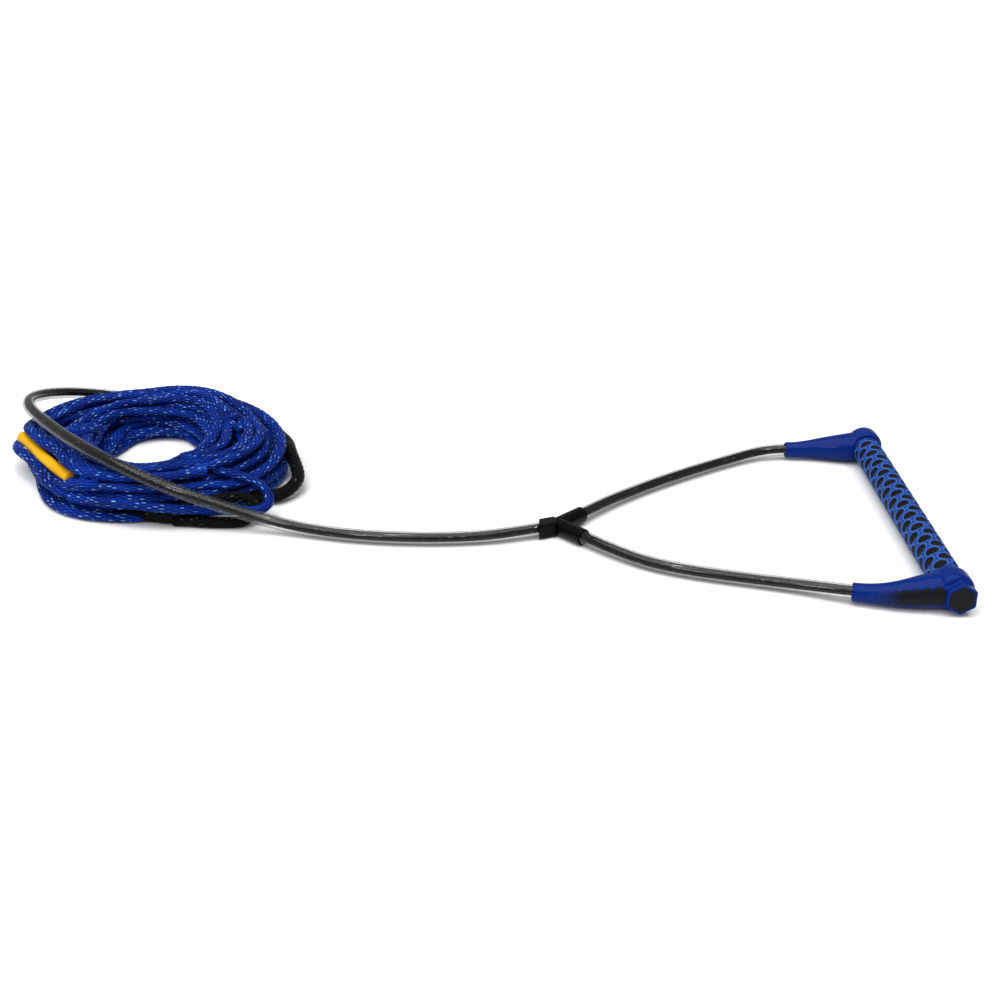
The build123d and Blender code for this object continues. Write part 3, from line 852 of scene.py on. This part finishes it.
def flare(at):
    ends = np.minimum(at, sleeve_length - at)
    return 1.0 + SLEEVE_FLARE * np.exp(-ends / FLARE_LENGTH)


sleeve = paint(tube("line_tag_sleeve", sleeve_line, SLEEVE_D, SLEEVE_D, 40, swell=flare), tag_vinyl)
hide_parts("line_tag")
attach(sleeve, "line")

# ---- cords: transforms of the tubed ones baked, the free ones attached to the line ----
for piece, a, b, start, end in blends:
    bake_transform(piece)
for piece in (tail, eye, splice, hitch, mainline):
    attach(piece, "line")

# ---- grip net ----
GRIP_R = 0.0145
GRIP_HALF = 0.163
BAR_X, BAR_H = 0.034, 0.018
COLUMNS = 10  # round the grip
PITCH = 0.0262
FIRST_ANGLE = math.radians(115.8)
FIRST_ROW = 0.0101  # of the even columns, from the middle of the bar
NET_END = 0.1530
OPENING_ACROSS, OPENING_ALONG = 0.0066, 0.0057  # half sizes
OPENING_POWER = 2.2  # above 2 is squarer than an ellipse
OPENING_SLANT = 0.10
SOLID = -9.0  # a value well away from any opening
AROUND, ALONG = 184, 560  # points of the net's mesh


def grip_pattern(y, angle):
    """How deep inside an opening a place on the grip is; negative on the net."""
    column = (angle - FIRST_ANGLE) / TURN * COLUMNS
    wide = TURN * GRIP_R / COLUMNS
    best = np.full_like(y, SOLID)
    for shift in (-1, 0, 1):
        c = np.round(column) + shift
        offset = FIRST_ROW + np.where(c % 2 == 0, 0.0, PITCH / 2)
        x = (column - c) * wide
        for step in (-1, 0, 1):
            r = np.round((y - offset) / PITCH) + step
            dy = y - offset - r * PITCH + x * OPENING_SLANT
            field = (np.abs(x) / OPENING_ACROSS) ** OPENING_POWER + (np.abs(dy) / OPENING_ALONG) ** OPENING_POWER
            best = np.maximum(best, 1.0 - field ** (1 / OPENING_POWER))
    return np.where(np.abs(y) > NET_END, SOLID, best)


def grip_mesh():
    """The net's outer surface, dished at its openings."""
    angle = TURN * np.arange(AROUND) / AROUND
    y = np.linspace(-GRIP_HALF, GRIP_HALF, ALONG)
    yy, aa = np.meshgrid(y, angle, indexing="ij")
    value = grip_pattern(yy, aa)
    hole = smoothstep(np.clip(value / 0.12 + 0.5, 0, 1))
    edge = np.exp(-(((value + 0.14) / 0.075) ** 2))
    knot = np.clip((-value - 0.34) / 0.16, 0, 1)
    radius = GRIP_R - hole * 0.0010 + edge * 0.0002 - knot * 0.0003
    co = np.stack([BAR_X + radius * np.cos(aa), yy, BAR_H + radius * np.sin(aa)], -1).reshape(-1, 3)
    i = np.arange(ALONG - 1)[:, None] * AROUND
    j = np.arange(AROUND)[None, :]
    k = (j + 1) % AROUND
    quads = np.stack([i + j, i + AROUND + j, i + AROUND + k, i + k], -1).reshape(-1, 4)
    mesh = bpy.data.meshes.new("grip_net")
    mesh.from_pydata(co.tolist(), [], quads.tolist())
    mesh.update()
    for name, values in (("opening", hole), ("edge", edge), ("knot", knot)):
        attribute = mesh.attributes.new(name, "FLOAT", "POINT")
        attribute.data.foreach_set("value", values.reshape(-1).astype(np.float32))
    return smooth_object("grip_net", mesh)


grip = paint(grip_mesh(), grip_web_material)
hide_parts("grip_web")
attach(grip, "handle")

# ---- finishes of the CAD pieces that stay ----
FINISH = {
    "bar_tube": bar_aluminium,
    "grip_core": grip_black,
    "bar_rope": tube_rope,
    "throat_splice": tube_rope,
    "yoke_sleeve_left": yoke_rubber,
    "yoke_sleeve_right": yoke_rubber,
    "yoke_sleeve_trunk": yoke_rubber,
    "cap_inlay_left": inlay_black,
    "cap_inlay_right": inlay_black,
    "cap_left": cap_rubber,
    "cap_right": cap_rubber,
    "bar_plug_left": plug_nylon,
    "bar_plug_right": plug_nylon,
}
for name, material in FINISH.items():
    paint(nodes[name], material)

for name in ("yoke_sleeve_left", "yoke_sleeve_right", "yoke_sleeve_trunk"):
    soft = nodes[name].modifiers.new("soft edges", "BEVEL")
    soft.width = 0.0005
    soft.segments = 2
    soft.limit_method = "ANGLE"
for name in ("cap_left", "cap_right"):
    skin = nodes[name].modifiers.new("skin", "REMESH")
    skin.mode = "VOXEL"
    skin.voxel_size = 0.0006
    skin.use_smooth_shade = True
    smooth = nodes[name].modifiers.new("smooth", "SMOOTH")
    smooth.factor = 0.5
    smooth.iterations = 14

# ---- floor, lights, camera ----
floor_mat = Mat("floor")
paper = floor_mat.mix(floor_mat.noise(3.0, 2.0), (0.90, 0.90, 0.90, 1), (0.93, 0.93, 0.93, 1))
floor_mat.surface(floor_mat.principled(Base_Color=paper, Roughness=0.9))
bpy.ops.mesh.primitive_plane_add(size=60, location=(-0.4, 0.0, -0.0005))
floor = bpy.context.object
floor.name = "floor"
paint(floor, floor_mat.mat)

world = bpy.data.worlds.new("studio")
bpy.context.scene.world = world
world.use_nodes = True
background = world.node_tree.nodes["Background"]
background.inputs["Color"].default_value = (1, 1, 1, 1)
background.inputs["Strength"].default_value = 0.42


def area_light(name, place, aim, size, power):
    data = bpy.data.lights.new(name, "AREA")
    data.size = size
    data.energy = power
    lamp = link(bpy.data.objects.new(name, data))
    lamp.location = place
    lamp.rotation_euler = (Vector(aim) - Vector(place)).to_track_quat("-Z", "Y").to_euler()


area_light("softbox_front", (-1.2, -1.6, 1.4), (-0.4, 0, 0), 0.5, 6)
area_light("dot_left", (-0.7, -0.3, 1.5), (-0.1, 0, 0), 0.06, 2.5)
area_light("dot_right", (0.5, -0.5, 1.4), (-0.1, 0, 0), 0.06, 2.5)
sun_data = bpy.data.lights.new("overhead", "SUN")
sun_data.energy = 2.6
sun_data.angle = math.radians(70)
sun = link(bpy.data.objects.new("overhead", sun_data))
sun.rotation_euler = (math.radians(8), math.radians(-10), 0)

camera_data = bpy.data.cameras.new("camera")
camera_data.lens = 50
camera = link(bpy.data.objects.new("camera", camera_data))
camera.location = (-0.35225, -1.25781, 0.5854)
camera.rotation_euler = (math.radians(66), 0, math.radians(0.6))
bpy.context.scene.camera = camera
bpy.context.scene.view_settings.view_transform = "Standard"
